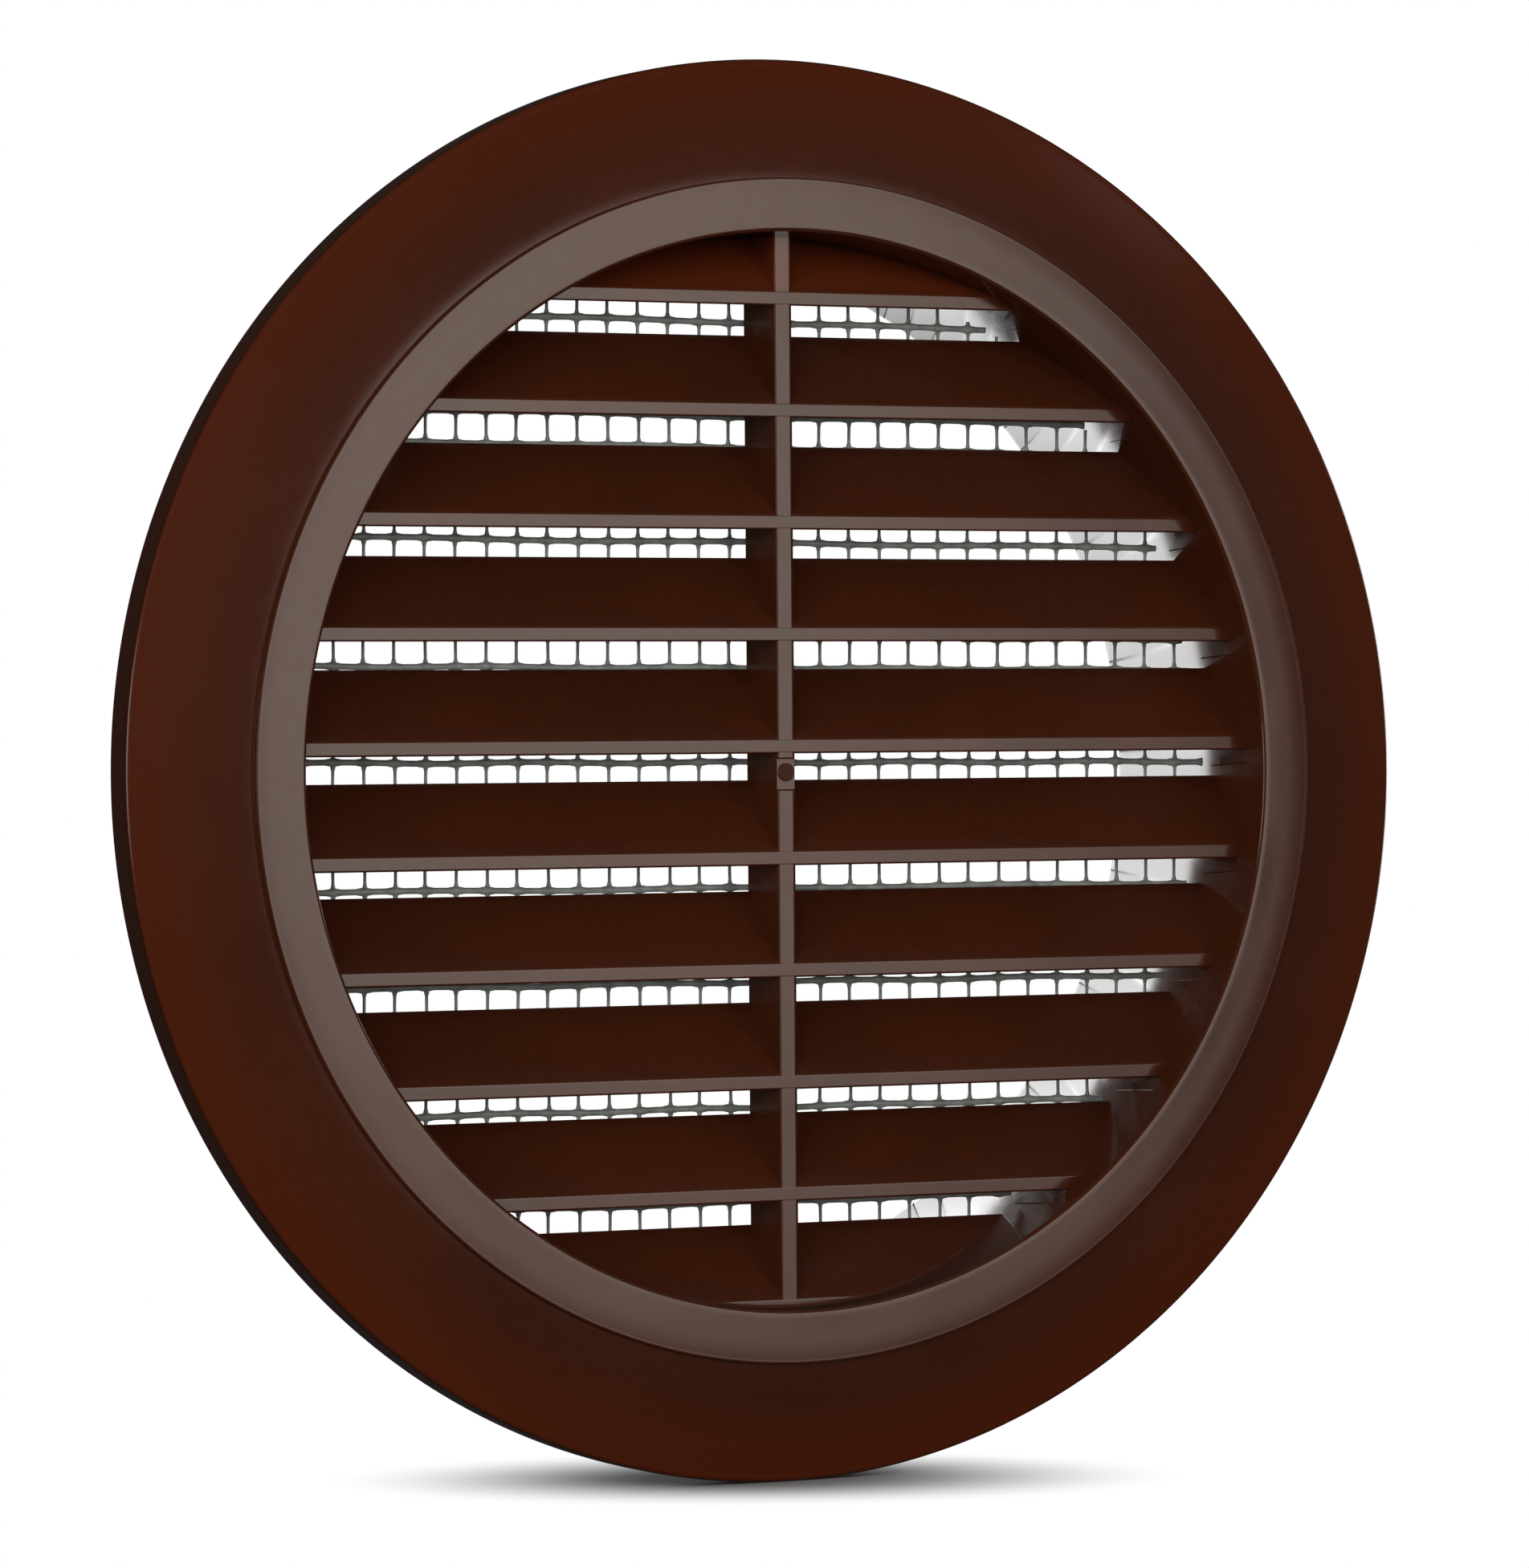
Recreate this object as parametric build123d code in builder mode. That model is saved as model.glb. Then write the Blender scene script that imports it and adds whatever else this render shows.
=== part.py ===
# Round louvred vent grille for a 100 mm duct, with an insect net behind the slats.
# Frame: +X right, +Z up, front towards -Y. The origin is on the duct axis in the wall plane,
# which is the back of the flange. Lengths are in millimetres.
import os
from math import cos, pi, sin

from build123d import *

os.makedirs("parts", exist_ok=True)

# Spigot
duct_d = 100.0            # the round duct it is made for
duct_play = 1.2           # spigot outside below the duct, on the diameter
spigot_wall = 1.45
spigot_length = 20.0      # behind the wall plane
lead_in = 0.7             # chamfer on the open end

# Front ring and flange
ring_over = 3.3           # ring edge outside the spigot
flange_width = 10.8       # from the ring edge to the rim
ring_height = 6.5         # ring face in front of the wall
rim_height = 3.5          # straight side wall of the flange
rim_round = 0.6           # front edge of the side wall
ring_crown = 2.1          # width of the falling outer part of the ring face
ring_fall = 0.1           # how far the ring face falls there
ring_step = 0.7           # step from the ring edge to the flange
step_land = 0.45          # narrow flat beside the step
flange_bulge = 0.14       # swell of the flange above its chord
shell = 1.8               # wall of the flange
edge_round = 0.35         # inner edge of the ring face
round_flats = 3           # flats on each worked edge and on the crown

# Louvre
slat_pitch = 10.0
slat_depth = 6.1          # front to back
slat_rise = 6.4           # back edge above the front edge
slat_strip = 1.55         # height of the flat front strip
slat_recess = 3.2         # slat fronts behind the ring face
slat_drop = 5.1           # first front strip below the top of the bore
slat_front_edge = 0.25    # flat on the upper edge of the front strip
slat_back_edge = 0.1      # flat on the upper back edge

# Upright bar with its gate pocket
bar_width = 1.8
bar_proud = 0.0           # in front of the slats' fronts
bar_edge = 0.2            # flat on its two front edges
pocket_height = 2.7
pocket_depth = 0.45
pocket_centre = -0.3      # height of the pocket's middle
gate_d = 1.65
gate_height = 0.12

# Net
net_pitch = 9.0           # every third strand of the 3 mm net
net_margin = 0.7          # between the cut edge and the spigot wall
strand_h = 0.5            # across, the thicker way of the net
strand_v = 0.3            # upright, the thinner way
net_thick = 0.5

# Derived
spigot_r = (duct_d - duct_play) / 2
bore_r = spigot_r - spigot_wall
ring_r = spigot_r + ring_over
flange_r = ring_r + flange_width
inner_rim_r = flange_r - shell
ring_y = -ring_height
rim_y = -rim_height
edge_y = ring_y + ring_fall
land_y = edge_y + ring_step
land_r = ring_r + step_land
under_y = land_y + shell
slat_y = ring_y + slat_recess
back_y = slat_y + slat_depth
bar_y = slat_y - bar_proud
slat_top = bore_r - slat_drop
slat_count = int((slat_top + bore_r) / slat_pitch) + 1
trim_r = bore_r + spigot_wall / 2
slope_end_r = flange_r - rim_round
slope_mid = ((land_r + slope_end_r) / 2, (land_y + rim_y) / 2 - flange_bulge)
under_r = land_r - shell * 0.35
under_mid = ((under_r + inner_rim_r) / 2, (under_y + rim_y + shell) / 2 - flange_bulge)


def edge_flats(mid_r, mid_y, radius, start, turn):
    """Points of a quarter round worked in flats about (mid_r, mid_y)."""
    steps = [start + turn * k / round_flats for k in range(round_flats + 1)]
    return [(mid_r + radius * cos(a), mid_y + radius * sin(a)) for a in steps]


rim_edge = edge_flats(slope_end_r, rim_y + rim_round, rim_round, -pi / 2, pi / 2)
bore_edge = edge_flats(bore_r + edge_round, ring_y + edge_round, edge_round, pi, pi / 2)
falls = [k / round_flats for k in range(round_flats + 1)]
crown = [(ring_r - ring_crown * (1 - t), ring_y + ring_fall * t * t) for t in falls]

with BuildPart() as grille_body:
    # Slats: straight upper face from the front strip up to the back edge
    for i in range(slat_count):
        z_top = slat_top - i * slat_pitch
        z_back = z_top + slat_rise
        with BuildSketch(Plane.YZ) as slat_sk:
            with BuildLine():
                Polyline(
                    (slat_y, z_top - slat_strip),
                    (slat_y, z_top),
                    (back_y, z_back),
                    (back_y, z_back - slat_strip),
                    close=True,
                )
            make_face()
            chamfer(slat_sk.vertices().sort_by_distance((slat_y, z_top))[0], slat_front_edge)
            chamfer(slat_sk.vertices().sort_by_distance((back_y, z_back))[0], slat_back_edge)
        extrude(amount=flange_r, both=True)
    # Upright bar, broken along its two front edges
    with BuildSketch(Plane.XY) as bar_sk:
        with Locations((0, (bar_y + back_y) / 2)):
            Rectangle(bar_width, back_y - bar_y)
        chamfer(bar_sk.vertices().group_by(Axis.Y)[0], bar_edge)
    extrude(amount=flange_r, both=True)
    # Everything inside the collar ends in the middle of the spigot wall
    with BuildSketch(Plane.XZ.offset(-back_y - 1)):
        Circle(trim_r)
    extrude(amount=back_y - ring_y + 2, mode=Mode.INTERSECT)
    # Rim, flange, ring and spigot turned in one profile
    with BuildSketch(Plane.XY):
        with BuildLine():
            Polyline(
                *rim_edge,
                (flange_r, 0),
                (inner_rim_r, 0),
                (inner_rim_r, rim_y + shell),
                under_mid,
                (under_r, under_y),
                (spigot_r, under_y),
                (spigot_r, spigot_length - lead_in),
                (spigot_r - lead_in, spigot_length),
                (bore_r, spigot_length),
                *bore_edge,
                *crown,
                (ring_r, land_y),
                (land_r, land_y),
            )
            ThreePointArc((land_r, land_y), slope_mid, (slope_end_r, rim_y))
        make_face()
    revolve(axis=Axis.Y)
    # Gate pocket on the bar, with the round mark standing in it
    with BuildSketch(Plane.XZ.offset(-bar_y)):
        with Locations((0, pocket_centre)):
            Rectangle(bar_width * 2, pocket_height)
    extrude(amount=-pocket_depth, mode=Mode.SUBTRACT)
    with BuildSketch(Plane.XZ.offset(-(bar_y + pocket_depth))):
        with Locations((0, pocket_centre + pocket_height * 0.06)):
            Circle(gate_d / 2)
    extrude(amount=gate_height)
grille_body.part.label = "grille_body"

net_r = bore_r - net_margin
net_rows = int(net_r / net_pitch)
with BuildPart() as insect_net:
    # Strands both ways in one sheet, cut to a disc that lies on the slats' back edges
    with BuildSketch(Plane.XZ.offset(-back_y)):
        with Locations(*[(0, k * net_pitch) for k in range(-net_rows, net_rows + 1)]):
            Rectangle(net_r * 2, strand_h)
        with Locations(*[(k * net_pitch, 0) for k in range(-net_rows, net_rows + 1)]):
            Rectangle(strand_v, net_r * 2)
        Circle(net_r, mode=Mode.INTERSECT)
    extrude(amount=-net_thick)
insect_net.part.label = "insect_net"

export_step(grille_body.part, "parts/grille_body.step")
export_step(insect_net.part, "parts/insect_net.step")
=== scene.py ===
"""Round louvred vent grille with its insect net, dressed and lit for a studio portrait."""

import logging
import math
from dataclasses import dataclass
from enum import Enum
from typing import Any, Optional, Sequence, Union

import bpy
import numpy as np
from mathutils import Matrix, Vector


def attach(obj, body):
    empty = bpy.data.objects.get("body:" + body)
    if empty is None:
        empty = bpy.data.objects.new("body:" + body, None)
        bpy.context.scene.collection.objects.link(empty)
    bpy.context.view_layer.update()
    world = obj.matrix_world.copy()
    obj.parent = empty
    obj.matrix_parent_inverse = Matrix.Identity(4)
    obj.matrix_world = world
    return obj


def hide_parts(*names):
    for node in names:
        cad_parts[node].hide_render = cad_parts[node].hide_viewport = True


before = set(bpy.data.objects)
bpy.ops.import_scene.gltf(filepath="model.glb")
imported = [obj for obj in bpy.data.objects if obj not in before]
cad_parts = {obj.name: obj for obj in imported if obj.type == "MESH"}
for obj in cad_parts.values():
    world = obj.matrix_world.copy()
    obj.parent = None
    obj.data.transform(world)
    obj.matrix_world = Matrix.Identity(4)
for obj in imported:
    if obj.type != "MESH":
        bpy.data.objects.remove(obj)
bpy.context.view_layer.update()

LOG = logging.getLogger("vent_grille")
MM = 0.001
BODY = "root"
FULL_TURN = 360.0
NOISE_MID = 0.5
PLASTIC_IOR = 1.5


# Shader graph


class Signal:
    """One output socket of a shader graph that takes part in Python arithmetic."""

    def __init__(self, graph: "Graph", socket: Optional[bpy.types.NodeSocket]) -> None:
        """Keeps the graph that owns the socket, and the socket."""
        self.graph = graph
        self.socket = socket

    def _math(self, operation: str, first: Any, second: Any) -> "Signal":
        """Adds one Math node.

        Args:
            operation: the Math node's operation.
            first: a signal or number for its first socket.
            second: a signal or number for its second socket.

        Returns:
            The node's result.
        """
        return self.graph.add("ShaderNodeMath", {"operation": operation}, {0: first, 1: second})

    def __add__(self, other: Any) -> "Signal":
        """self + other."""
        return self._math("ADD", self, other)

    def __radd__(self, other: Any) -> "Signal":
        """other + self."""
        return self._math("ADD", other, self)

    def __sub__(self, other: Any) -> "Signal":
        """self - other."""
        return self._math("SUBTRACT", self, other)

    def __rsub__(self, other: Any) -> "Signal":
        """other - self."""
        return self._math("SUBTRACT", other, self)

    def __mul__(self, other: Any) -> "Signal":
        """self * other."""
        return self._math("MULTIPLY", self, other)

    def __rmul__(self, other: Any) -> "Signal":
        """other * self."""
        return self._math("MULTIPLY", other, self)

    def step(self, low: float, high: float) -> "Signal":
        """Eases from 0 below low to 1 above high.

        Args:
            low: value at which the result leaves 0.
            high: value at which the result reaches 1.

        Returns:
            The eased signal.
        """
        return self.graph.add(
            "ShaderNodeMapRange",
            {"interpolation_type": "SMOOTHSTEP"},
            {"Value": self, "From Min": low, "From Max": high, "To Min": 0.0, "To Max": 1.0},
        )


class Graph:
    """A node tree that is written as Python expressions."""

    def __init__(self, tree: bpy.types.NodeTree) -> None:
        """Starts from an empty tree."""
        self.tree = tree
        tree.nodes.clear()

    def add(self, kind: str, settings: dict, inputs: dict, output: Union[int, str] = 0) -> Signal:
        """Adds any node: its settings first, then the values or links of its sockets.

        Args:
            kind: the node's type.
            settings: attributes of the node.
            inputs: socket name or number to a signal or a plain value.
            output: name or number of the socket to return.

        Returns:
            The chosen output, with no socket if the node has none.
        """
        node = self.tree.nodes.new(kind)
        for name, value in settings.items():
            setattr(node, name, value)
        for name, value in inputs.items():
            if isinstance(value, Signal):
                self.tree.links.new(value.socket, node.inputs[name])
            else:
                node.inputs[name].default_value = value
        return Signal(self, node.outputs[output] if len(node.outputs) else None)

    def blend(self, factor: Any, first: Any, second: Any) -> Signal:
        """Mixes two colours.

        Args:
            factor: 0 gives the first colour and 1 the second.
            first: a signal or an RGBA tuple.
            second: a signal or an RGBA tuple.

        Returns:
            The mixed colour.
        """
        return self.add(
            "ShaderNodeMix",
            {"data_type": "RGBA", "clamp_factor": True},
            {0: factor, 6: first, 7: second},
            2,
        )

    def place(self) -> Signal:
        """Object coordinates, in metres in the shared frame."""
        return self.add("ShaderNodeTexCoord", {}, {}, "Object")

    def axis(self, letter: str) -> Signal:
        """One of the Object coordinates, by its axis."""
        return self.add("ShaderNodeSeparateXYZ", {}, {"Vector": self.place()}, letter)

    def length(self, vector: Signal) -> Signal:
        """Length of a vector."""
        return self.add("ShaderNodeVectorMath", {"operation": "LENGTH"}, {0: vector}, "Value")

    def from_duct_axis(self, shift: Sequence[float] = (0.0, 0.0, 0.0)) -> Signal:
        """Distance from the duct axis: the length of (x, 0, z) after a shift.

        Args:
            shift: moves the axis the other way.

        Returns:
            The distance in metres.
        """
        mapping = {"Vector": self.place(), "Scale": (1.0, 0.0, 1.0), "Location": tuple(shift)}
        return self.length(self.add("ShaderNodeMapping", {}, mapping))

    def noise(self, scale: float, detail: float) -> Signal:
        """Smooth noise from 0 to 1.

        Args:
            scale: cells in a metre.
            detail: octaves.

        Returns:
            The noise value.
        """
        inputs = {"Vector": self.place(), "Scale": scale, "Detail": detail}
        return self.add("ShaderNodeTexNoise", {}, inputs)

    def output(self, surface: Signal, kind: str = "ShaderNodeOutputMaterial") -> None:
        """Ends the graph in its output node."""
        self.add(kind, {}, {"Surface": surface})

    def plastic(self, colour: Signal, roughness: Signal, relief: Signal) -> None:
        """Ends the graph in a plastic.

        Args:
            colour: its base colour.
            roughness: its roughness.
            relief: height of its surface in metres, shown by a bump.
        """
        bump = {"Strength": 1.0, "Distance": 1.0, "Height": relief}
        inputs = {
            "Base Color": colour,
            "Roughness": roughness,
            "Normal": self.add("ShaderNodeBump", {}, bump),
            "IOR": PLASTIC_IOR,
        }
        self.output(self.add("ShaderNodeBsdfPrincipled", {}, inputs))


def rgba(red: float, green: float, blue: float) -> tuple:
    """A linear colour with full alpha."""
    return (red, green, blue, 1.0)


def new_material(name: str) -> tuple:
    """Makes a material with an empty graph.

    Args:
        name: the material's name.

    Returns:
        The material and its graph.
    """
    material = bpy.data.materials.new(name)
    material.use_nodes = True
    return material, Graph(material.node_tree)


# Finishes


@dataclass(frozen=True)
class MouldedBrown:
    """Satin brown plastic as it leaves the mould.

    Lengths are in metres. A pair that ends in _span says where a mask leaves 0 and reaches 1.
    """

    deep: tuple = rgba(0.047, 0.0110, 0.0040)
    warm: tuple = rgba(0.060, 0.0140, 0.0050)
    # Painted light: edge colours the outer flange redder and lighter, as side light falls on it
    # where it tilts outwards.
    edge: tuple = rgba(0.072, 0.0120, 0.0022)
    # Painted shade: side colours the rim's outer side wall darker, as little light reaches it.
    side: tuple = rgba(0.028, 0.0062, 0.0020)
    # Painted light: the top slat, which lies in the ring's shade, is coloured lighter and redder.
    top_slat_painted_light_colour: tuple = rgba(0.105, 0.0190, 0.0045)
    dusty: tuple = rgba(0.105, 0.075, 0.060)
    flow_scale: float = 42.0
    mottle_scale: float = 900.0
    mottle_share: float = 0.3
    tone_span: tuple = (0.30, 0.70)
    brim_painted_light_span: tuple = (0.0545, 0.0625)
    painted_side_shade_span: tuple = (0.0633, 0.06345)
    top_slat_painted_light_span: tuple = (0.0424, 0.0436)
    top_slat_painted_light_share: float = 0.8
    speck_scale: float = 2600.0
    speck_span: tuple = (0.79, 0.83)
    speck_tint: float = 0.35
    roughness: float = 0.21
    roughness_swing: float = 0.06
    bore_near_span: tuple = (0.0476, 0.0478)
    bore_far_span: tuple = (0.0480, 0.0482)
    bore_polish: float = 0.10
    foot_span: tuple = (-0.04136, -0.04133)
    foot_slope: float = 0.19
    foot_back_span: tuple = (0.0026, 0.0028)
    foot_matt: float = 0.75
    gate_shift: tuple = (-0.00015, 0.0, 0.000138)
    gate_span: tuple = (0.00072, 0.00084)
    gate_matt: float = 0.42
    ripple_scale: float = 71.4
    ripple_depth: float = 0.00006
    calm_near_span: tuple = (0.0440, 0.0476)
    calm_far_span: tuple = (0.0482, 0.0500)
    calm_share: float = 0.9
    grain_scale: float = 5200.0
    grain_depth: float = 0.0000025

    def colour(self, g: Graph, out: Signal, mottle: Signal) -> Signal:
        """Colours the plastic: slow drift, painted light on the brim, painted shade on the rim's
        side wall, painted light on the top slat, and dust.

        Args:
            g: the graph.
            out: distance from the duct axis.
            mottle: fine noise.

        Returns:
            The base colour.
        """
        drift = g.noise(self.flow_scale, 2.0)
        tone = drift * (1 - self.mottle_share) + mottle * self.mottle_share
        body = g.blend(tone.step(*self.tone_span), self.deep, self.warm)
        # Painted light on the brim: towards the rim the flange takes the lighter, redder edge
        # colour.
        body = g.blend(out.step(*self.brim_painted_light_span), body, self.edge)
        # Painted shade on the rim's outer side wall: it takes the darker side colour.
        body = g.blend(out.step(*self.painted_side_shade_span), body, self.side)
        # Painted light on the top slat, which lies in the shade of the ring above it.
        painted_light_on_top_slat = g.axis("Z").step(*self.top_slat_painted_light_span) * (1 - out.step(*self.bore_near_span))
        body = g.blend(painted_light_on_top_slat * self.top_slat_painted_light_share, body, self.top_slat_painted_light_colour)
        specks = g.noise(self.speck_scale, 1.0).step(*self.speck_span)
        return g.blend(specks * self.speck_tint, body, self.dusty)

    def polish(self, g: Graph, bore: Signal, mottle: Signal) -> Signal:
        """Sets the roughness: polished bore wall, its matt foot before the net and a matt gate.

        The foot lies below a line that falls by the foot's slope towards the front.

        Args:
            g: the graph.
            bore: 1 on the bore wall.
            mottle: fine noise.

        Returns:
            The roughness.
        """
        height, depth = g.axis("Z"), g.axis("Y")
        below = 1 - (height - depth * self.foot_slope).step(*self.foot_span)
        foot = bore * below * (1 - depth.step(*self.foot_back_span))
        gate = 1 - g.from_duct_axis(self.gate_shift).step(*self.gate_span)
        swing = (mottle - NOISE_MID) * self.roughness_swing
        plain = self.roughness + swing - bore * self.bore_polish
        return plain + gate * self.gate_matt + foot * self.foot_matt

    def relief(self, g: Graph, out: Signal, bore: Signal) -> Signal:
        """Sets the height: long ripples that calm down near the bore wall, and fine grain off it.

        Args:
            g: the graph.
            out: distance from the duct axis.
            bore: 1 on the bore wall.

        Returns:
            The height in metres.
        """
        calm = out.step(*self.calm_near_span) * (1 - out.step(*self.calm_far_span))
        ripples = (g.noise(self.ripple_scale, 1.0) - NOISE_MID) * self.ripple_depth
        grain = g.noise(self.grain_scale, 2.0) * self.grain_depth
        return ripples * (1 - calm * self.calm_share) + grain * (1 - bore)

    def make(self) -> bpy.types.Material:
        """Makes the material.

        Returns:
            A plastic whose tone drifts slowly, with painted light on the brim and the top slat,
            painted shade on the rim's side wall, fine grain, long shallow ripples of the shrinking
            melt and a trace of dust.
        """
        material, g = new_material("moulded_brown")
        out = g.from_duct_axis()
        mottle = g.noise(self.mottle_scale, 3.0)
        bore = out.step(*self.bore_near_span) * (1 - out.step(*self.bore_far_span))
        colour, relief = self.colour(g, out, mottle), self.relief(g, out, bore)
        g.plastic(colour, self.polish(g, bore, mottle), relief)
        return material


@dataclass(frozen=True)
class NetPlastic:
    """Dark grey extruded net, shiny where the strand was drawn."""

    dark: tuple = rgba(0.215, 0.228, 0.210)
    pale: tuple = rgba(0.350, 0.372, 0.345)
    streak_scale: float = 700.0
    streak_span: tuple = (0.3, 0.7)
    roughness: float = 0.34
    roughness_swing: float = 0.16
    draw_scale: float = 2400.0
    draw_depth: float = 0.00002

    def make(self) -> bpy.types.Material:
        """Makes the material.

        Returns:
            A grey plastic with soft streaks.
        """
        material, g = new_material("net_plastic")
        streak = g.noise(self.streak_scale, 3.0)
        colour = g.blend(streak.step(*self.streak_span), self.dark, self.pale)
        roughness = self.roughness + (streak - NOISE_MID) * self.roughness_swing
        g.plastic(colour, roughness, g.noise(self.draw_scale, 2.0) * self.draw_depth)
        return material


@dataclass(frozen=True)
class PaleFloor:
    """White studio floor with a painted contact shadow.

    Where the rim touches, the camera sees an oval of dark grey card instead of white: a painted
    shadow, darkened further by the real shadow that the card catches. The oval's half widths are
    in metres.
    """

    painted_shadow_grey: tuple = rgba(0.33, 0.33, 0.33)
    white: tuple = rgba(1.0, 1.0, 1.0)
    painted_shadow_half: tuple = (0.0245, 0.0155)
    painted_shadow_shift: tuple = (0.0018, -0.0008, 0.0)
    painted_shadow_turn: float = 27.7
    painted_shadow_span: tuple = (0.35, 1.6)

    def make(self) -> bpy.types.Material:
        """Makes the material: dark grey card, of which the camera sees a share as plain white.

        The share falls in an oval about the place where the rim touches, so the card shows there
        as a painted contact shadow, together with the real shadow that it catches.

        Returns:
            The floor material.
        """
        material, g = new_material("pale_floor")
        camera = g.add("ShaderNodeLightPath", {}, {}, "Is Camera Ray")
        turn = (0.0, 0.0, math.radians(self.painted_shadow_turn))
        moved = {"Vector": g.place(), "Rotation": turn, "Location": self.painted_shadow_shift}
        turned = g.add("ShaderNodeMapping", {}, moved)
        scale = (1 / self.painted_shadow_half[0], 1 / self.painted_shadow_half[1], 0.0)
        away = g.length(g.add("ShaderNodeMapping", {}, {"Vector": turned, "Scale": scale}))
        # Painted shadow: inside the oval the camera sees the dark grey card instead of white, and
        # the card also catches the real shadow.
        share = camera * away.step(*self.painted_shadow_span)
        painted_shadow_card = g.add("ShaderNodeBsdfDiffuse", {}, {"Color": self.painted_shadow_grey})
        white = g.add("ShaderNodeEmission", {}, {"Color": self.white, "Strength": 1.0})
        g.output(g.add("ShaderNodeMixShader", {}, {0: share, 1: painted_shadow_card, 2: white}))
        return material


# Mesh making


def arc(mid: Sequence[float], radius: float, start: float, end: float, count: int) -> np.ndarray:
    """Points of a circular arc: middle plus radius times (cosine, sine) of an even angle.

    Args:
        mid: middle of the circle.
        radius: its radius.
        start: first angle in degrees.
        end: last angle in degrees.
        count: number of points.

    Returns:
        An array of count rows of two numbers.
    """
    angle = np.radians(np.linspace(start, end, count))
    return np.stack([mid[0] + radius * np.cos(angle), mid[1] + radius * np.sin(angle)], axis=1)


def line(start: Sequence[float], end: Sequence[float], count: int) -> np.ndarray:
    """Points of a straight line, both ends included: start plus an even share of end - start.

    Args:
        start: first point.
        end: last point.
        count: number of points.

    Returns:
        An array of count rows.
    """
    share = np.linspace(0.0, 1.0, count)[:, None]
    return np.asarray(start) * (1 - share) + np.asarray(end) * share


def three_point_arc(
    a: Sequence[float], b: Sequence[float], c: Sequence[float], count: int
) -> np.ndarray:
    """Points of the circle arc from a through b to c.

    The middle is where the upright bisectors of a-b and b-c cross, and the angle runs evenly.

    Args:
        a: first point.
        b: a point on the way.
        c: last point.
        count: number of points.

    Returns:
        An array of count rows of two numbers.
    """
    a, b, c = (np.asarray(p, dtype=float) for p in (a, b, c))
    sides = 2 * np.stack([b - a, c - b])
    mid = np.linalg.solve(sides, np.array([b @ b - a @ a, c @ c - b @ b]))
    first, last = (math.degrees(math.atan2(*(p - mid)[::-1])) for p in (a, c))
    last += FULL_TURN * round((first - last) / FULL_TURN)
    return arc(mid, float(np.linalg.norm(a - mid)), first, last, count)


def grid_faces(rows: int, columns: int, close_rows: bool, close_columns: bool) -> np.ndarray:
    """Quads of a grid: each joins a point, its right neighbour and those two of the next row.

    Args:
        rows: number of rows.
        columns: number of points in a row.
        close_rows: join the last row to the first.
        close_columns: join the last column to the first.

    Returns:
        An array of four point numbers a face.
    """
    r = np.arange(rows if close_rows else rows - 1)[:, None]
    c = np.arange(columns if close_columns else columns - 1)[None, :]
    r2, c2 = (r + 1) % rows, (c + 1) % columns
    corners = [r * columns + c, r * columns + c2, r2 * columns + c2, r2 * columns + c]
    return np.stack(np.broadcast_arrays(*corners), axis=-1).reshape(-1, 4)


def full_circle(count: int) -> np.ndarray:
    """A row of even angles once round, in radians, without the last one."""
    return np.linspace(0.0, 2 * np.pi, count, endpoint=False)[None, :]


class MeshStock:
    """Collects surfaces and puts them into one mesh object."""

    def __init__(self) -> None:
        """Starts empty."""
        self.points: list = []
        self.faces: list = []
        self.count = 0

    def add(self, points: np.ndarray, faces: list) -> None:
        """Adds one surface.

        Args:
            points: rows of three numbers, in millimetres.
            faces: lists of point numbers within these points.
        """
        flat = np.asarray(points, dtype=float).reshape(-1, 3)
        self.points.append(flat * MM)
        self.faces.extend([[i + self.count for i in face] for face in faces])
        self.count += len(flat)

    def add_tube(self, grid: np.ndarray) -> None:
        """Adds a closed tube whose rings are the rows of the grid, with both ends capped.

        Args:
            grid: an array of rings, points and three numbers.
        """
        rings, around = grid.shape[:2]
        faces = grid_faces(rings, around, False, True)
        start = list(range(around))[::-1]
        end = list(range((rings - 1) * around, rings * around))
        self.add(grid, [*faces.tolist(), start, end])

    def make(self, name: str, material: bpy.types.Material, sharp_deg: float) -> bpy.types.Object:
        """Makes the object.

        Args:
            name: the piece's name.
            material: its finish.
            sharp_deg: edges that turn more than this stay crisp.

        Returns:
            The object, at the origin, with outward faces.
        """
        mesh = bpy.data.meshes.new(name)
        mesh.from_pydata(np.concatenate(self.points), [], self.faces)
        mesh.validate()
        mesh.polygons.foreach_set("use_smooth", np.ones(len(mesh.polygons), dtype=bool))
        mesh.set_sharp_from_angle(angle=math.radians(sharp_deg))
        mesh.materials.append(material)
        mesh.update()
        piece = bpy.data.objects.new(name, mesh)
        bpy.context.scene.collection.objects.link(piece)
        return piece


# Sub-assemblies


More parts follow.
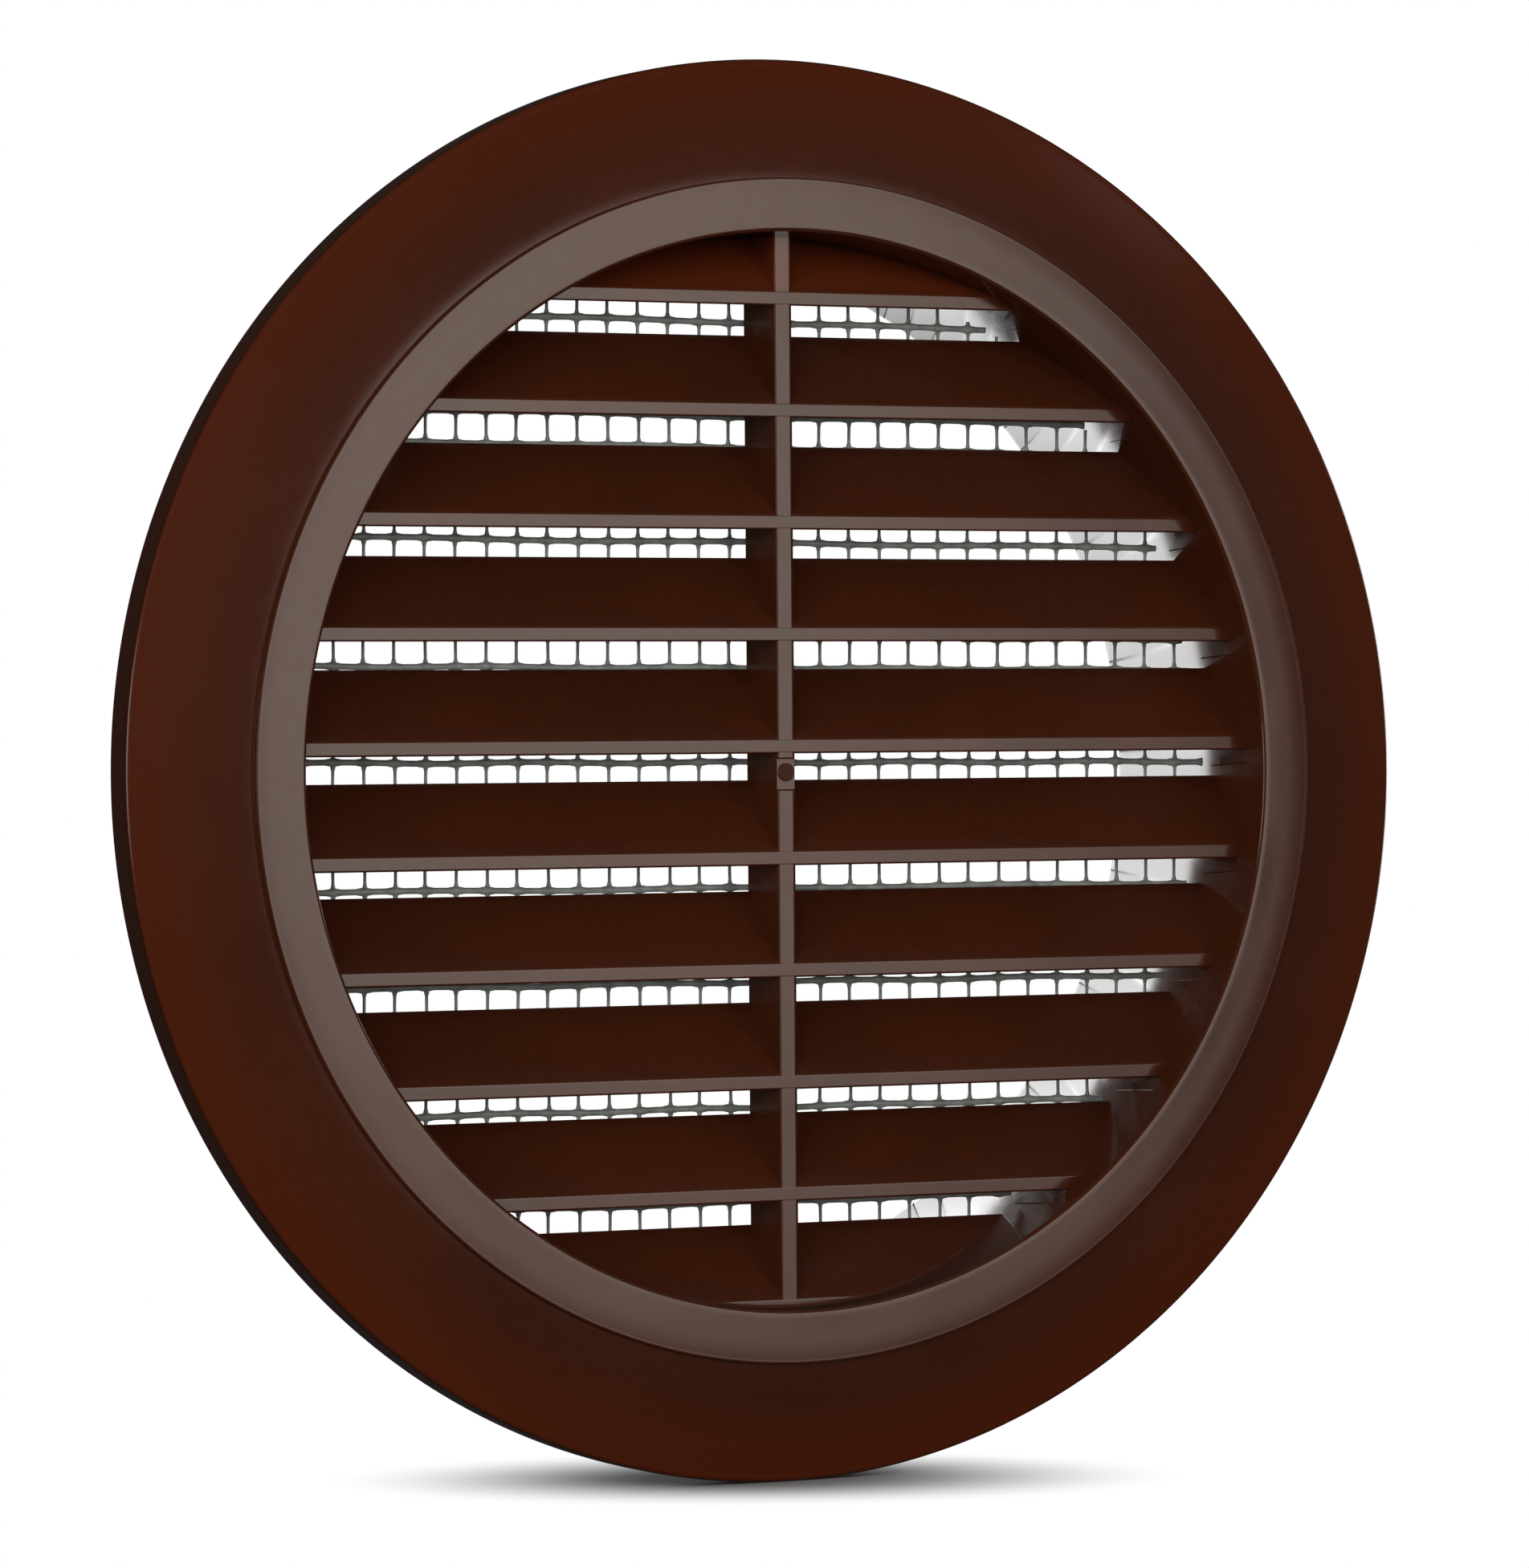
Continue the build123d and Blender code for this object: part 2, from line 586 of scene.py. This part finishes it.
@dataclass
class GrilleBody:
    """The one-piece moulding: rim, swelled flange, ring, spigot, slats and upright bar.

    Lengths are in millimetres. A value that ends in _run says how far a straight run stops short
    of the rounds at its ends, in the order of the section.
    """

    # Spigot
    spigot_r: float = 49.4
    spigot_wall: float = 1.45
    spigot_length: float = 20.0
    spigot_run: float = 0.2
    root_round: float = 0.4
    lead_in: float = 0.7
    tip_run: tuple = (0.1, 0.05)
    tip_round: float = 0.2
    bore_run: tuple = (0.3, 0.1)
    # Front ring and its step
    ring_r: float = 52.7
    ring_y: float = -6.5
    ring_run: float = 0.2
    ring_crown: float = 2.1
    ring_fall: float = 0.05
    ring_step: float = 0.62
    ring_edge: float = 0.07
    ring_edge_drop: float = 0.75
    ring_edge_start: float = -70.0
    edge_round: float = 0.35
    step_run: tuple = (0.35, 0.12)
    step_land: float = 0.45
    step_foot: float = 0.06
    # Flange
    flange_r: float = 63.5
    flange_bulge: float = 0.14
    cove: float = 1.3
    cove_lean: float = 0.52
    rim_y: float = -3.5
    rim_round: float = 0.6
    rim_run: tuple = (0.2, 0.05)
    back_round: float = 0.2
    back_run: tuple = (0.2, 0.15)
    inner_round: float = 0.15
    inner_run: float = 0.25
    shell: float = 1.8
    under_lean: float = 0.35
    under_run: tuple = (0.2, 0.1)
    turns: int = 360
    # Mould lines on the bore wall
    mould_line: float = 0.06
    mould_half: float = 0.1
    mould_sink: float = 0.03
    mould_drop: float = 2.64
    mould_rise: float = 0.15
    mould_ahead: float = 0.1
    # Slats
    slat_count: int = 10
    slat_pitch: float = 10.0
    slat_depth: float = 6.1
    slat_rise: float = 6.4
    slat_strip: float = 1.55
    slat_y: float = -3.3
    slat_top: float = 42.85
    slat_nose: float = 0.45
    slat_chin: float = 0.16
    slat_tail: float = 0.07
    strip_run: float = 0.02
    over_run: tuple = (0.9, 0.8)
    tail_run: float = 0.05
    beneath_run: tuple = (0.6, 0.7)
    slat_inset: float = 0.1
    slat_rows: int = 41
    # Upright bar, with its gate pocket and the mark in it
    bar_width: float = 1.8
    bar_x: float = 0.15
    bar_sunk: float = 0.012
    bar_left: float = 0.12
    bar_right: float = 0.34
    bar_back: float = 0.1
    bar_front_run: float = 0.04
    bar_side_run: tuple = (1.0, 0.15)
    bar_rows: int = 20
    pocket_height: float = 2.7
    pocket_depth: float = 0.22
    pocket_centre: float = -0.3
    pocket_lip: float = 0.14
    gate_d: float = 1.65
    gate_height: float = 0.12
    gate_up: float = 0.06
    gate_root: float = 0.1
    gate_break: float = 0.05
    gate_dish: tuple = ((0.7, 0.015), (0.4, 0.02))
    gate_eye: float = 0.03
    gate_turns: int = 28
    crisp_deg: float = 38.0

    @property
    def bore_r(self) -> float:
        """Inside of the spigot."""
        return self.spigot_r - self.spigot_wall

    @property
    def back_y(self) -> float:
        """Back edges of the slats."""
        return self.slat_y + self.slat_depth

    @property
    def bar_y(self) -> float:
        """Front of the bar."""
        return self.slat_y + self.bar_sunk

    @property
    def trim_r(self) -> float:
        """Where the slat ends sit inside the spigot wall."""
        return self.bore_r + self.spigot_wall / 2

    def crown(self) -> np.ndarray:
        """Falling outer part of the ring face: its fall grows with the square of the way out.

        Returns:
            Rows of (radius, depth).
        """
        rise = np.linspace(0.0, 1.0, 12)[:, None]
        rows = np.hstack([
            self.ring_r - self.ring_crown * (1 - rise), self.ring_y + self.ring_fall * rise**2])
        return rows[rows[:, 0] < self.ring_r - self.ring_edge]

    def hollow(self, slope: np.ndarray) -> np.ndarray:
        """Hollow beside the step: its lean grows evenly from a share of the slope's to all of it.

        Args:
            slope: rows of the slope that it runs into.

        Returns:
            Rows of (radius, depth).
        """
        lean = (slope[1, 1] - slope[0, 1]) / (slope[1, 0] - slope[0, 0])
        start = self.ring_r + self.step_foot
        width = slope[0, 0] - start
        share = np.linspace(0.0, 1.0, 10)[:-1, None]
        fall = self.cove_lean * (1 - share) + (1 - self.cove_lean) * (1 - share**2) / 2
        return np.hstack([start + width * share, slope[0, 1] - lean * width * fall])

    def wall_profile(self) -> np.ndarray:
        """The turned section as (radius, depth) rows, once round, front first.

        Straight runs joined by arcs: ring face, crown, step, hollow, swelled slope, rounded rim,
        hollow back, spigot and bore.

        Returns:
            An array of rows of two numbers.
        """
        ring_r, spigot_r, bore_r, flange_r = self.ring_r, self.spigot_r, self.bore_r, self.flange_r
        edge, small, tip = self.edge_round, self.ring_edge, self.spigot_length
        edge_y = self.ring_y + self.ring_fall
        land_y = edge_y + self.ring_step
        land_r = ring_r + self.step_land
        end_r = flange_r - self.rim_round
        rim_end_y = self.rim_y + self.rim_round
        in_r, in_y = flange_r - self.shell, self.rim_y + self.shell
        under_r, under_y = land_r - self.shell * self.under_lean, land_y + self.shell
        slope_mid = ((land_r + end_r) / 2, (land_y + self.rim_y) / 2 - self.flange_bulge)
        under_mid = ((under_r + in_r) / 2, (under_y + in_y) / 2 - self.flange_bulge)
        slope = three_point_arc((land_r, land_y), slope_mid, (end_r, self.rim_y), 56)
        slope = slope[slope[:, 0] > ring_r + self.cove]
        back, inner = self.back_round, self.inner_round
        root, mouth = self.root_round, self.tip_round
        lead_r, lead_y = spigot_r - self.lead_in, tip - self.lead_in
        return np.concatenate([
            line((bore_r + edge, self.ring_y),
                 (ring_r - self.ring_crown - self.ring_run, self.ring_y), 6),
            self.crown(),
            arc((ring_r - small, edge_y + small * self.ring_edge_drop),
                small, self.ring_edge_start, 0, 5),
            line((ring_r, land_y - self.step_run[0]), (ring_r, land_y - self.step_run[1]), 3),
            self.hollow(slope),
            slope,
            arc((end_r, rim_end_y), self.rim_round, -90, 0, 11)[1:],
            line((flange_r, rim_end_y + self.rim_run[0]), (flange_r, -back - self.rim_run[1]), 4),
            arc((flange_r - back, -back), back, 0, 90, 5),
            line((flange_r - back - self.back_run[0], 0), (in_r + inner + self.back_run[1], 0), 3),
            arc((in_r + inner, -inner), inner, 90, 180, 4),
            line((in_r, -inner - self.inner_run), (in_r, in_y), 4),
            line((in_r, in_y), under_mid, 8)[1:],
            line(under_mid, (under_r, under_y), 8)[1:],
            line((under_r - self.under_run[0], under_y),
                 (spigot_r + root + self.under_run[1], under_y), 4),
            arc((spigot_r + root, under_y + root), root, 270, 180, 5),
            line((spigot_r, under_y + root + self.spigot_run), (spigot_r, lead_y), 10),
            line((spigot_r, lead_y), (lead_r, tip), 3)[1:],
            line((lead_r - self.tip_run[0], tip), (bore_r + mouth + self.tip_run[1], tip), 3),
            arc((bore_r + mouth, tip - mouth), mouth, 90, 180, 5),
            line((bore_r, tip - mouth - self.bore_run[0]),
                 (bore_r, self.ring_y + edge + self.bore_run[1]), 26),
            arc((bore_r + edge, self.ring_y + edge), edge, 180, 270, 8)[:-1],
        ])

    def turned_wall(self, stock: MeshStock) -> None:
        """Carries the section round the duct axis: x = r sin t, z = r cos t, depth kept.

        Args:
            stock: takes the surface.
        """
        section = self.wall_profile()
        t = full_circle(self.turns)
        r, y = section[:, :1], section[:, 1:]
        grid = np.stack([r * np.sin(t), y + 0 * t, r * np.cos(t)], axis=-1)
        stock.add(grid, grid_faces(len(section), self.turns, True, True).tolist())

    def slat_profile(self) -> np.ndarray:
        """Section of one slat as (depth, height above its front strip's top), from the front.

        A sloped strip of even height: upright front and back ends, straight faces between, and the
        corners eased by small arcs.

        Returns:
            An array of rows of two numbers.
        """
        front, back = self.slat_y, self.back_y
        under_back = self.slat_rise - self.slat_strip
        grade = self.slat_rise / self.slat_depth
        slope = math.degrees(math.atan(grade))
        blunt = math.tan(math.radians((90 - slope) / 2))
        keen = math.tan(math.radians((90 + slope) / 2))
        nose = (front + self.slat_nose, -self.slat_nose * blunt)
        tail = (back - self.slat_tail, self.slat_rise - self.slat_tail * keen)
        heel = (back - self.slat_chin, under_back + self.slat_chin * blunt)
        chin = (front + self.slat_chin, -self.slat_strip + self.slat_chin * keen)
        (over_front, over_back), (below_back, below_front) = self.over_run, self.beneath_run
        return np.concatenate([
            line((front, chin[1] + self.strip_run), (front, nose[1] - self.strip_run), 4),
            arc(nose, self.slat_nose, 180, 90 + slope, 6),
            line((front + over_front, over_front * grade),
                 (back - over_back, self.slat_rise - over_back * grade), 8),
            arc(tail, self.slat_tail, 90 + slope, 0, 7),
            line((back, tail[1] - self.tail_run), (back, heel[1] + self.tail_run), 3),
            arc(heel, self.slat_chin, 0, slope - 90, 5),
            line((back - below_back, under_back - below_back * grade),
                 (front + below_front, -self.slat_strip + below_front * grade), 8),
            arc(chin, self.slat_chin, slope - 90, -180, 6),
        ])

    def slats(self, stock: MeshStock) -> None:
        """Carries the slat section across the bore.

        At share s of the way the point is s times half the chord of a circle in the middle of the
        spigot wall, at the point's own height, so each slat ends inside the round wall.

        Args:
            stock: takes the surfaces.
        """
        section = self.slat_profile()
        reach = self.trim_r - self.slat_inset
        share = np.linspace(-1.0, 1.0, self.slat_rows)[:, None]
        for k in range(self.slat_count):
            z = np.clip(section[:, 1] + self.slat_top - k * self.slat_pitch, -reach, reach)
            half = np.sqrt(self.trim_r**2 - z**2)
            grid = np.stack(np.broadcast_arrays(share * half, section[:, 0], z), axis=-1)
            stock.add_tube(grid[:, ::-1])

    def mould_lines(self, stock: MeshStock) -> None:
        """Lays the thin lines that the halves of the mould leave on the wall between the slats.

        Each runs from the slats' backs to their fronts, rising a little, and its section is a low
        ridge: two points just inside the wall circle and one towards the axis between them.

        Args:
            stock: takes the surfaces.
        """
        rows = 6
        depth = np.linspace(self.back_y, self.slat_y - self.mould_ahead, rows)[:, None]
        rise = np.linspace(-self.mould_rise, self.mould_rise, rows)[:, None]
        aside = np.array([-self.mould_half, 0.0, self.mould_half])[None, :]
        radius = self.bore_r + np.array([self.mould_sink, -self.mould_line, self.mould_sink])
        for k in range(self.slat_count - 1):
            z = self.slat_top - k * self.slat_pitch - self.mould_drop + rise
            angle = np.arcsin(z / self.bore_r) + aside / self.bore_r
            for side in (-1.0, 1.0):
                across, up = side * radius * np.cos(angle), radius * np.sin(angle)
                grid = np.stack([across, depth + 0 * aside, up], axis=-1)
                stock.add_tube(grid if side < 0 else grid[:, ::-1])

    def bar(self, stock: MeshStock) -> None:
        """Carries the bar's section down the bore, pushed back where the gate pocket is.

        The section is a rectangle with rounded edges; inside the pocket's height every point in
        front of the pocket floor is set on that floor.

        Args:
            stock: takes the surface.
        """
        half, front, back = self.bar_width / 2, self.bar_y, self.back_y
        left, right, rear = self.bar_left, self.bar_right, self.bar_back
        side_front, side_back = front + self.bar_side_run[0], back - self.bar_side_run[1]
        section = np.concatenate([
            arc((-half + left, front + left), left, 180, 270, 5),
            line((-half + left + self.bar_front_run, front),
                 (half - right - self.bar_front_run, front), 2),
            arc((half - right, front + right), right, 270, 360, 7),
            line((half, side_front), (half, side_back), 5),
            arc((half - rear, back - rear), rear, 0, 90, 3),
            arc((-half + rear, back - rear), rear, 90, 180, 3),
            line((-half, side_back), (-half, side_front), 5),
        ])
        lip = self.pocket_lip
        bottom, top = (self.pocket_centre + s * self.pocket_height / 2 for s in (-1, 1))
        z = np.concatenate([
            np.linspace(-self.trim_r, bottom - lip, self.bar_rows),
            [bottom, top],
            np.linspace(top + lip, self.trim_r, self.bar_rows),
        ])[:, None]
        inside = (z > bottom - lip / 2) & (z < top + lip / 2)
        y = np.where(inside, np.maximum(section[:, 1], front + self.pocket_depth), section[:, 1])
        grid = np.stack([self.bar_x + section[:, 0] + 0 * y, y, z + 0 * y], axis=-1)
        stock.add_tube(grid)

    def gate_mark(self, stock: MeshStock) -> None:
        """Turns the cut-off gate: a low stub with a broken edge and a dished face.

        A point at radius r and angle t of the turn lies at (r sin t, r cos t) from the mark's
        middle, with its depth kept.

        Args:
            stock: takes the surface.
        """
        r, floor = self.gate_d / 2, self.bar_y + self.pocket_depth
        face = floor - self.gate_height
        section = np.array([
            (r, floor + self.gate_root),
            (r, face + self.gate_break),
            (r - self.gate_break, face),
            *[(r * share, face + deep) for share, deep in self.gate_dish],
            (self.gate_eye, face + self.gate_dish[-1][1]),
        ])
        t = full_circle(self.gate_turns)
        mid = self.pocket_centre + self.pocket_height * self.gate_up
        radius, y = section[:, :1], section[:, 1:]
        grid = np.stack([
            self.bar_x + radius * np.sin(t), y + 0 * t, mid + radius * np.cos(t)], axis=-1)
        stock.add_tube(grid[:, ::-1])

    def build(self, finish: bpy.types.Material) -> bpy.types.Object:
        """Builds the moulding and lets it stand for its solid.

        Args:
            finish: the brown plastic.

        Returns:
            The piece.
        """
        stock = MeshStock()
        self.turned_wall(stock)
        self.slats(stock)
        self.mould_lines(stock)
        self.bar(stock)
        self.gate_mark(stock)
        piece = stock.make("grille_moulding", finish, self.crisp_deg)
        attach(piece, BODY)
        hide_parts("grille_body")
        return piece


class Way(Enum):
    """The two ways in which the net's strands run."""

    ACROSS = "across"
    UPRIGHT = "upright"


@dataclass
class InsectNet:
    """Square extruded net, cut to a disc that lies on the slats' back edges.

    Lengths are in millimetres. Places in a cell are shares of the pitch on each side of a knot.
    """

    front_y: float = 2.8
    thick: float = 0.5
    disc_r: float = 47.25
    edge_clear: float = 1.5
    half_count: int = 18
    pitch_x: float = 2.96
    pitch_z: float = 2.828
    first_x: float = -2.32
    first_z: float = 0.76
    stretch: float = 1.029
    stretch_grows: float = 0.00041
    turn_deg: float = -0.35
    cell_places: tuple = (-0.26, -0.10, 0.0, 0.10, 0.26)
    across_half: float = 0.31
    across_swell: float = 0.168
    across_deep: float = 0.23
    upright_half: float = 0.14
    upright_swell: float = 0.24
    upright_deep: float = 0.1375
    swell_reach: float = 0.40
    strand_sides: int = 6
    cut_most: float = 0.9
    cut_gap: float = 0.1
    wander: float = 0.07
    wander_lengths: tuple = (17.0, 38.0)
    seed: int = 7
    crisp_deg: float = 75.0

    def eased(self, x: np.ndarray) -> np.ndarray:
        """Places across the net: x times a stretch that grows evenly to the right."""
        return x * (self.stretch + self.stretch_grows * x)

    def strands(self, stock: MeshStock, way: Way, rng: np.random.Generator) -> None:
        """Carries a small oval ring along each strand of one way.

        Each strand is straight apart from a slow sine wander, and its half width swells towards
        every crossing by a bell curve of the distance to it. Both ends stop on the disc's edge,
        less a little for the cut. The whole net is turned a little in its plane.

        Args:
            stock: takes the strands.
            way: which strands.
            rng: the source of the cuts and the wander.
        """
        steps = np.arange(-self.half_count, self.half_count + 1)
        columns = self.eased(self.first_x + self.pitch_x * steps)
        rows = self.first_z + self.pitch_z * steps
        across = way is Way.ACROSS
        if across:
            lanes, knots, pitch = rows, columns, self.pitch_x
            half, swell, deep = self.across_half, self.across_swell, self.across_deep
        else:
            lanes, knots, pitch = columns, rows, self.pitch_z
            half, swell, deep = self.upright_half, self.upright_swell, self.upright_deep
        places = (knots[:, None] + np.array(self.cell_places) * pitch).ravel()
        ring = np.pi * (2 * np.arange(self.strand_sides) + 1)[None, :] / self.strand_sides
        turn = math.radians(self.turn_deg)
        for lane in lanes[np.abs(lanes) < self.disc_r - self.edge_clear]:
            cut = rng.uniform(0.0, self.cut_most, 2)
            reach = math.sqrt(self.disc_r**2 - lane**2)
            first, last = -reach + cut[0], reach - cut[1]
            kept = places[(places > first + self.cut_gap) & (places < last - self.cut_gap)]
            s = np.concatenate([[first], kept, [last]])[:, None]
            near = np.abs(s - knots).min(axis=1, keepdims=True)
            wide = half + swell * np.exp(-((near / self.swell_reach) ** 2))
            phase, length = rng.uniform(0, 2 * np.pi), rng.uniform(*self.wander_lengths)
            side = self.wander * np.sin(2 * np.pi * s / length + phase)
            u = s + 0 * ring
            v = lane + side + wide * np.cos(ring)
            y = self.front_y + self.thick / 2 + deep * np.sin(ring) + 0 * u
            x, z = (u, v) if across else (v, u)
            right = x * math.cos(turn) - z * math.sin(turn)
            up = x * math.sin(turn) + z * math.cos(turn)
            grid = np.stack([right, y, up], axis=-1)
            stock.add_tube(grid[:, ::-1] if across else grid)

    def build(self, finish: bpy.types.Material) -> bpy.types.Object:
        """Builds the net and lets it stand for its solid.

        Args:
            finish: the net's plastic.

        Returns:
            The piece.
        """
        stock = MeshStock()
        rng = np.random.default_rng(self.seed)
        self.strands(stock, Way.ACROSS, rng)
        self.strands(stock, Way.UPRIGHT, rng)
        piece = stock.make("net_disc", finish, self.crisp_deg)
        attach(piece, BODY)
        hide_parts("insect_net")
        return piece


# Studio


@dataclass(frozen=True)
class SoftBox:
    """A flat lamp that faces a point of the object, with its sizes in metres."""

    name: str
    azimuth: float
    elevation: float
    distance: float
    width: float
    height: float
    radiance: float
    tint: tuple = (1.0, 1.0, 1.0)
    sheen: bool = True

    def place(self, aim: Vector) -> bpy.types.Object:
        """Hangs the lamp; azimuth 0 is in front of the object and 90 to its right.

        Args:
            aim: the point it faces.

        Returns:
            The lamp, unseen by the camera itself.
        """
        a, e = math.radians(self.azimuth), math.radians(self.elevation)
        away = Vector((math.sin(a) * math.cos(e), -math.cos(a) * math.cos(e), math.sin(e)))
        lamp = bpy.data.lights.new(self.name, "AREA")
        lamp.shape = "RECTANGLE"
        lamp.size, lamp.size_y = self.width, self.height
        lamp.energy = self.radiance * math.pi * self.width * self.height
        lamp.color = self.tint
        holder = bpy.data.objects.new(self.name, lamp)
        holder.location = aim + away * self.distance
        holder.rotation_euler = away.to_track_quat("Z", "Y").to_euler()
        holder.visible_camera = False
        holder.visible_glossy = self.sheen
        bpy.context.scene.collection.objects.link(holder)
        return holder


@dataclass(frozen=True)
class DuctGlow:
    """An arc of small panels behind the spigot's open end, with its sizes in metres.

    They lie where the spigot's right wall mirrors the camera, and face that wall, so it shines
    from its open end to the back of the slats. The angle runs from the right, upwards.
    """

    behind: float = 0.0225
    radius: float = 0.0476
    depth: float = 0.0102
    light: float = 1.04
    tilt_deg: float = 27.7
    step_deg: float = 3.25
    half_count: int = 20
    turn: float = 2.4
    narrowing: float = 1.5
    narrow_from_deg: float = 6.0
    taper: float = 0.0113
    least_band: float = 0.5
    fading: float = 1.1
    fade_from_deg: float = -8.0
    least_light: float = 0.3
    spread_deg: float = 70.0

    def band(self, degrees: float) -> float:
        """Depth of the band: above it narrows by a cosine, and below evenly.

        Args:
            degrees: the panel's angle.

        Returns:
            The depth in metres.
        """
        if degrees > 0:
            share = math.cos(self.narrowing * math.radians(degrees - self.narrow_from_deg))
        else:
            share = 1 + self.taper * degrees
        return self.depth * max(share, self.least_band)

    def hang(self, degrees: float) -> None:
        """Hangs one panel.

        Its light fades by a cosine of the angle, and it faces a multiple of the angle, the way
        the curved wall turns the view. It is as wide as its share of the arc seen that way.

        Args:
            degrees: the panel's angle.
        """
        a, t = math.radians(degrees), math.radians(self.tilt_deg)
        facing = self.turn * a
        band = self.band(degrees)
        fade = math.cos(self.fading * math.radians(degrees - self.fade_from_deg))
        mid = self.radius - band / 2
        back = Vector((
            -math.sin(t) * math.cos(facing), math.cos(t), -math.sin(t) * math.sin(facing)))
        along = Vector((-math.sin(a), 0.0, math.cos(a)))
        along -= back * along.dot(back)
        width = mid * math.radians(self.step_deg) * along.length
        along.normalize()
        light = self.light * max(fade, self.least_light)
        panel = SoftBox("duct_glow", 180.0, 0.0, 0.0, width, band, light)
        holder = panel.place(Vector((mid * math.cos(a), self.behind, mid * math.sin(a))))
        holder.rotation_euler = Matrix((along, back.cross(along), back)).transposed().to_euler()
        holder.visible_diffuse = False
        holder.data.spread = math.radians(self.spread_deg)

    def build(self) -> None:
        """Hangs all the panels."""
        for k in range(-self.half_count, self.half_count + 1):
            self.hang(k * self.step_deg)


@dataclass
class Studio:
    """White floor and background, soft lamps and the glow behind the duct."""

    floor_z: float = -0.0635
    floor_half: float = 6.0
    crisp_deg: float = 30.0
    white: tuple = rgba(1.0, 1.0, 1.0)
    ambient: float = 0.34
    glossy_ambient: float = 0.03
    lamps: tuple = (
        SoftBox("key", 22.6, 6.0, 1.1, 0.36, 0.38, 3.35, (1.0, 0.89, 0.81)),
        SoftBox("key_low", 22.6, -7.6, 1.1, 0.36, 0.14, 2.0, (1.0, 0.87, 0.77)),
        SoftBox("front_fill", -35.0, 8.0, 1.2, 1.4, 1.0, 2.55, sheen=False),
        SoftBox("left_edge", -66.0, 3.0, 1.0, 0.28, 0.34, 4.0),
        SoftBox("inner_edge", 106.0, 4.0, 1.0, 0.45, 0.34, 4.2),
        SoftBox("right_edge", 56.0, 28.0, 1.0, 0.16, 0.16, 0.35),
        SoftBox("rear_top", 228.0, 45.0, 1.0, 0.5, 0.5, 2.4, sheen=False),
        SoftBox("rear_axis", 152.0, 16.0, 0.7, 0.20, 0.22, 1.3, sheen=False),
    )

    def world(self) -> None:
        """White to the camera, an even grey to the rest, and dim to glossy rays."""
        scene = bpy.context.scene
        scene.world = bpy.data.worlds.new("studio_white")
        scene.world.use_nodes = True
        g = Graph(scene.world.node_tree)
        camera = g.add("ShaderNodeLightPath", {}, {}, "Is Camera Ray")
        glossy = g.add("ShaderNodeLightPath", {}, {}, "Is Glossy Ray")
        level = self.ambient + glossy * (self.glossy_ambient - self.ambient)
        level = level * (1 - camera) + camera
        sky = g.add("ShaderNodeBackground", {}, {"Color": self.white, "Strength": level})
        g.output(sky, "ShaderNodeOutputWorld")

    def floor(self) -> None:
        """Lays the floor under the rim, as one square."""
        side = np.array([-1.0, 1.0]) * self.floor_half / MM
        x, y = np.meshgrid(side, side)
        corners = np.stack([x, y, 0 * x + self.floor_z / MM], axis=-1)
        stock = MeshStock()
        stock.add(corners, grid_faces(2, 2, False, False).tolist())
        floor = stock.make("studio_floor", PaleFloor().make(), self.crisp_deg)
        floor.visible_glossy = False

    def build(self) -> None:
        """Sets up the view transform, the world, the floor and the lamps."""
        bpy.context.scene.view_settings.view_transform = "Standard"
        self.world()
        self.floor()
        for lamp in self.lamps:
            lamp.place(Vector((0.0, 0.0, 0.0)))
            LOG.info("lamp %s", lamp.name)
        DuctGlow().build()


@dataclass(frozen=True)
class PortraitCamera:
    """The photograph's camera: left of the axis, level, with a long lens."""

    yaw_deg: float = 27.683
    pitch_deg: float = 0.234
    roll_deg: float = -0.443
    distance: float = 0.6372
    lens: float = 164.55
    sensor: float = 36.0
    shift: tuple = (-0.02409, -0.00845)
    clip: tuple = (0.01, 50.0)
    aim: tuple = (0.0, -0.0065, 0.0)

    def build(self) -> None:
        """Makes the camera and gives it to the scene.

        It looks along its yaw and pitch, and its right and up turn about that line by the roll.
        """
        yaw, pitch, roll = (math.radians(v) for v in (self.yaw_deg, self.pitch_deg, self.roll_deg))
        ahead = Vector((
            math.sin(yaw) * math.cos(pitch), math.cos(yaw) * math.cos(pitch), -math.sin(pitch)))
        level = Vector((math.cos(yaw), -math.sin(yaw), 0.0))
        above = level.cross(ahead)
        right = level * math.cos(roll) + above * math.sin(roll)
        up = above * math.cos(roll) - level * math.sin(roll)
        data = bpy.data.cameras.new("portrait")
        data.lens, data.sensor_width = self.lens, self.sensor
        data.shift_x, data.shift_y = self.shift
        data.clip_start, data.clip_end = self.clip
        camera = bpy.data.objects.new("portrait", data)
        turn = Matrix((right, up, -ahead)).transposed().to_4x4()
        camera.matrix_world = Matrix.Translation(Vector(self.aim) - ahead * self.distance) @ turn
        bpy.context.scene.collection.objects.link(camera)
        bpy.context.scene.camera = camera


def main() -> None:
    """Builds the camera, the studio and the pieces in order, and reports each piece."""
    logging.basicConfig(level=logging.INFO, format="%(name)s: %(message)s")
    PortraitCamera().build()
    Studio().build()
    for piece in (
        GrilleBody().build(MouldedBrown().make()),
        InsectNet().build(NetPlastic().make()),
    ):
        LOG.info("piece %s, %d faces", piece.name, len(piece.data.polygons))


if __name__ == "__main__":
    main()
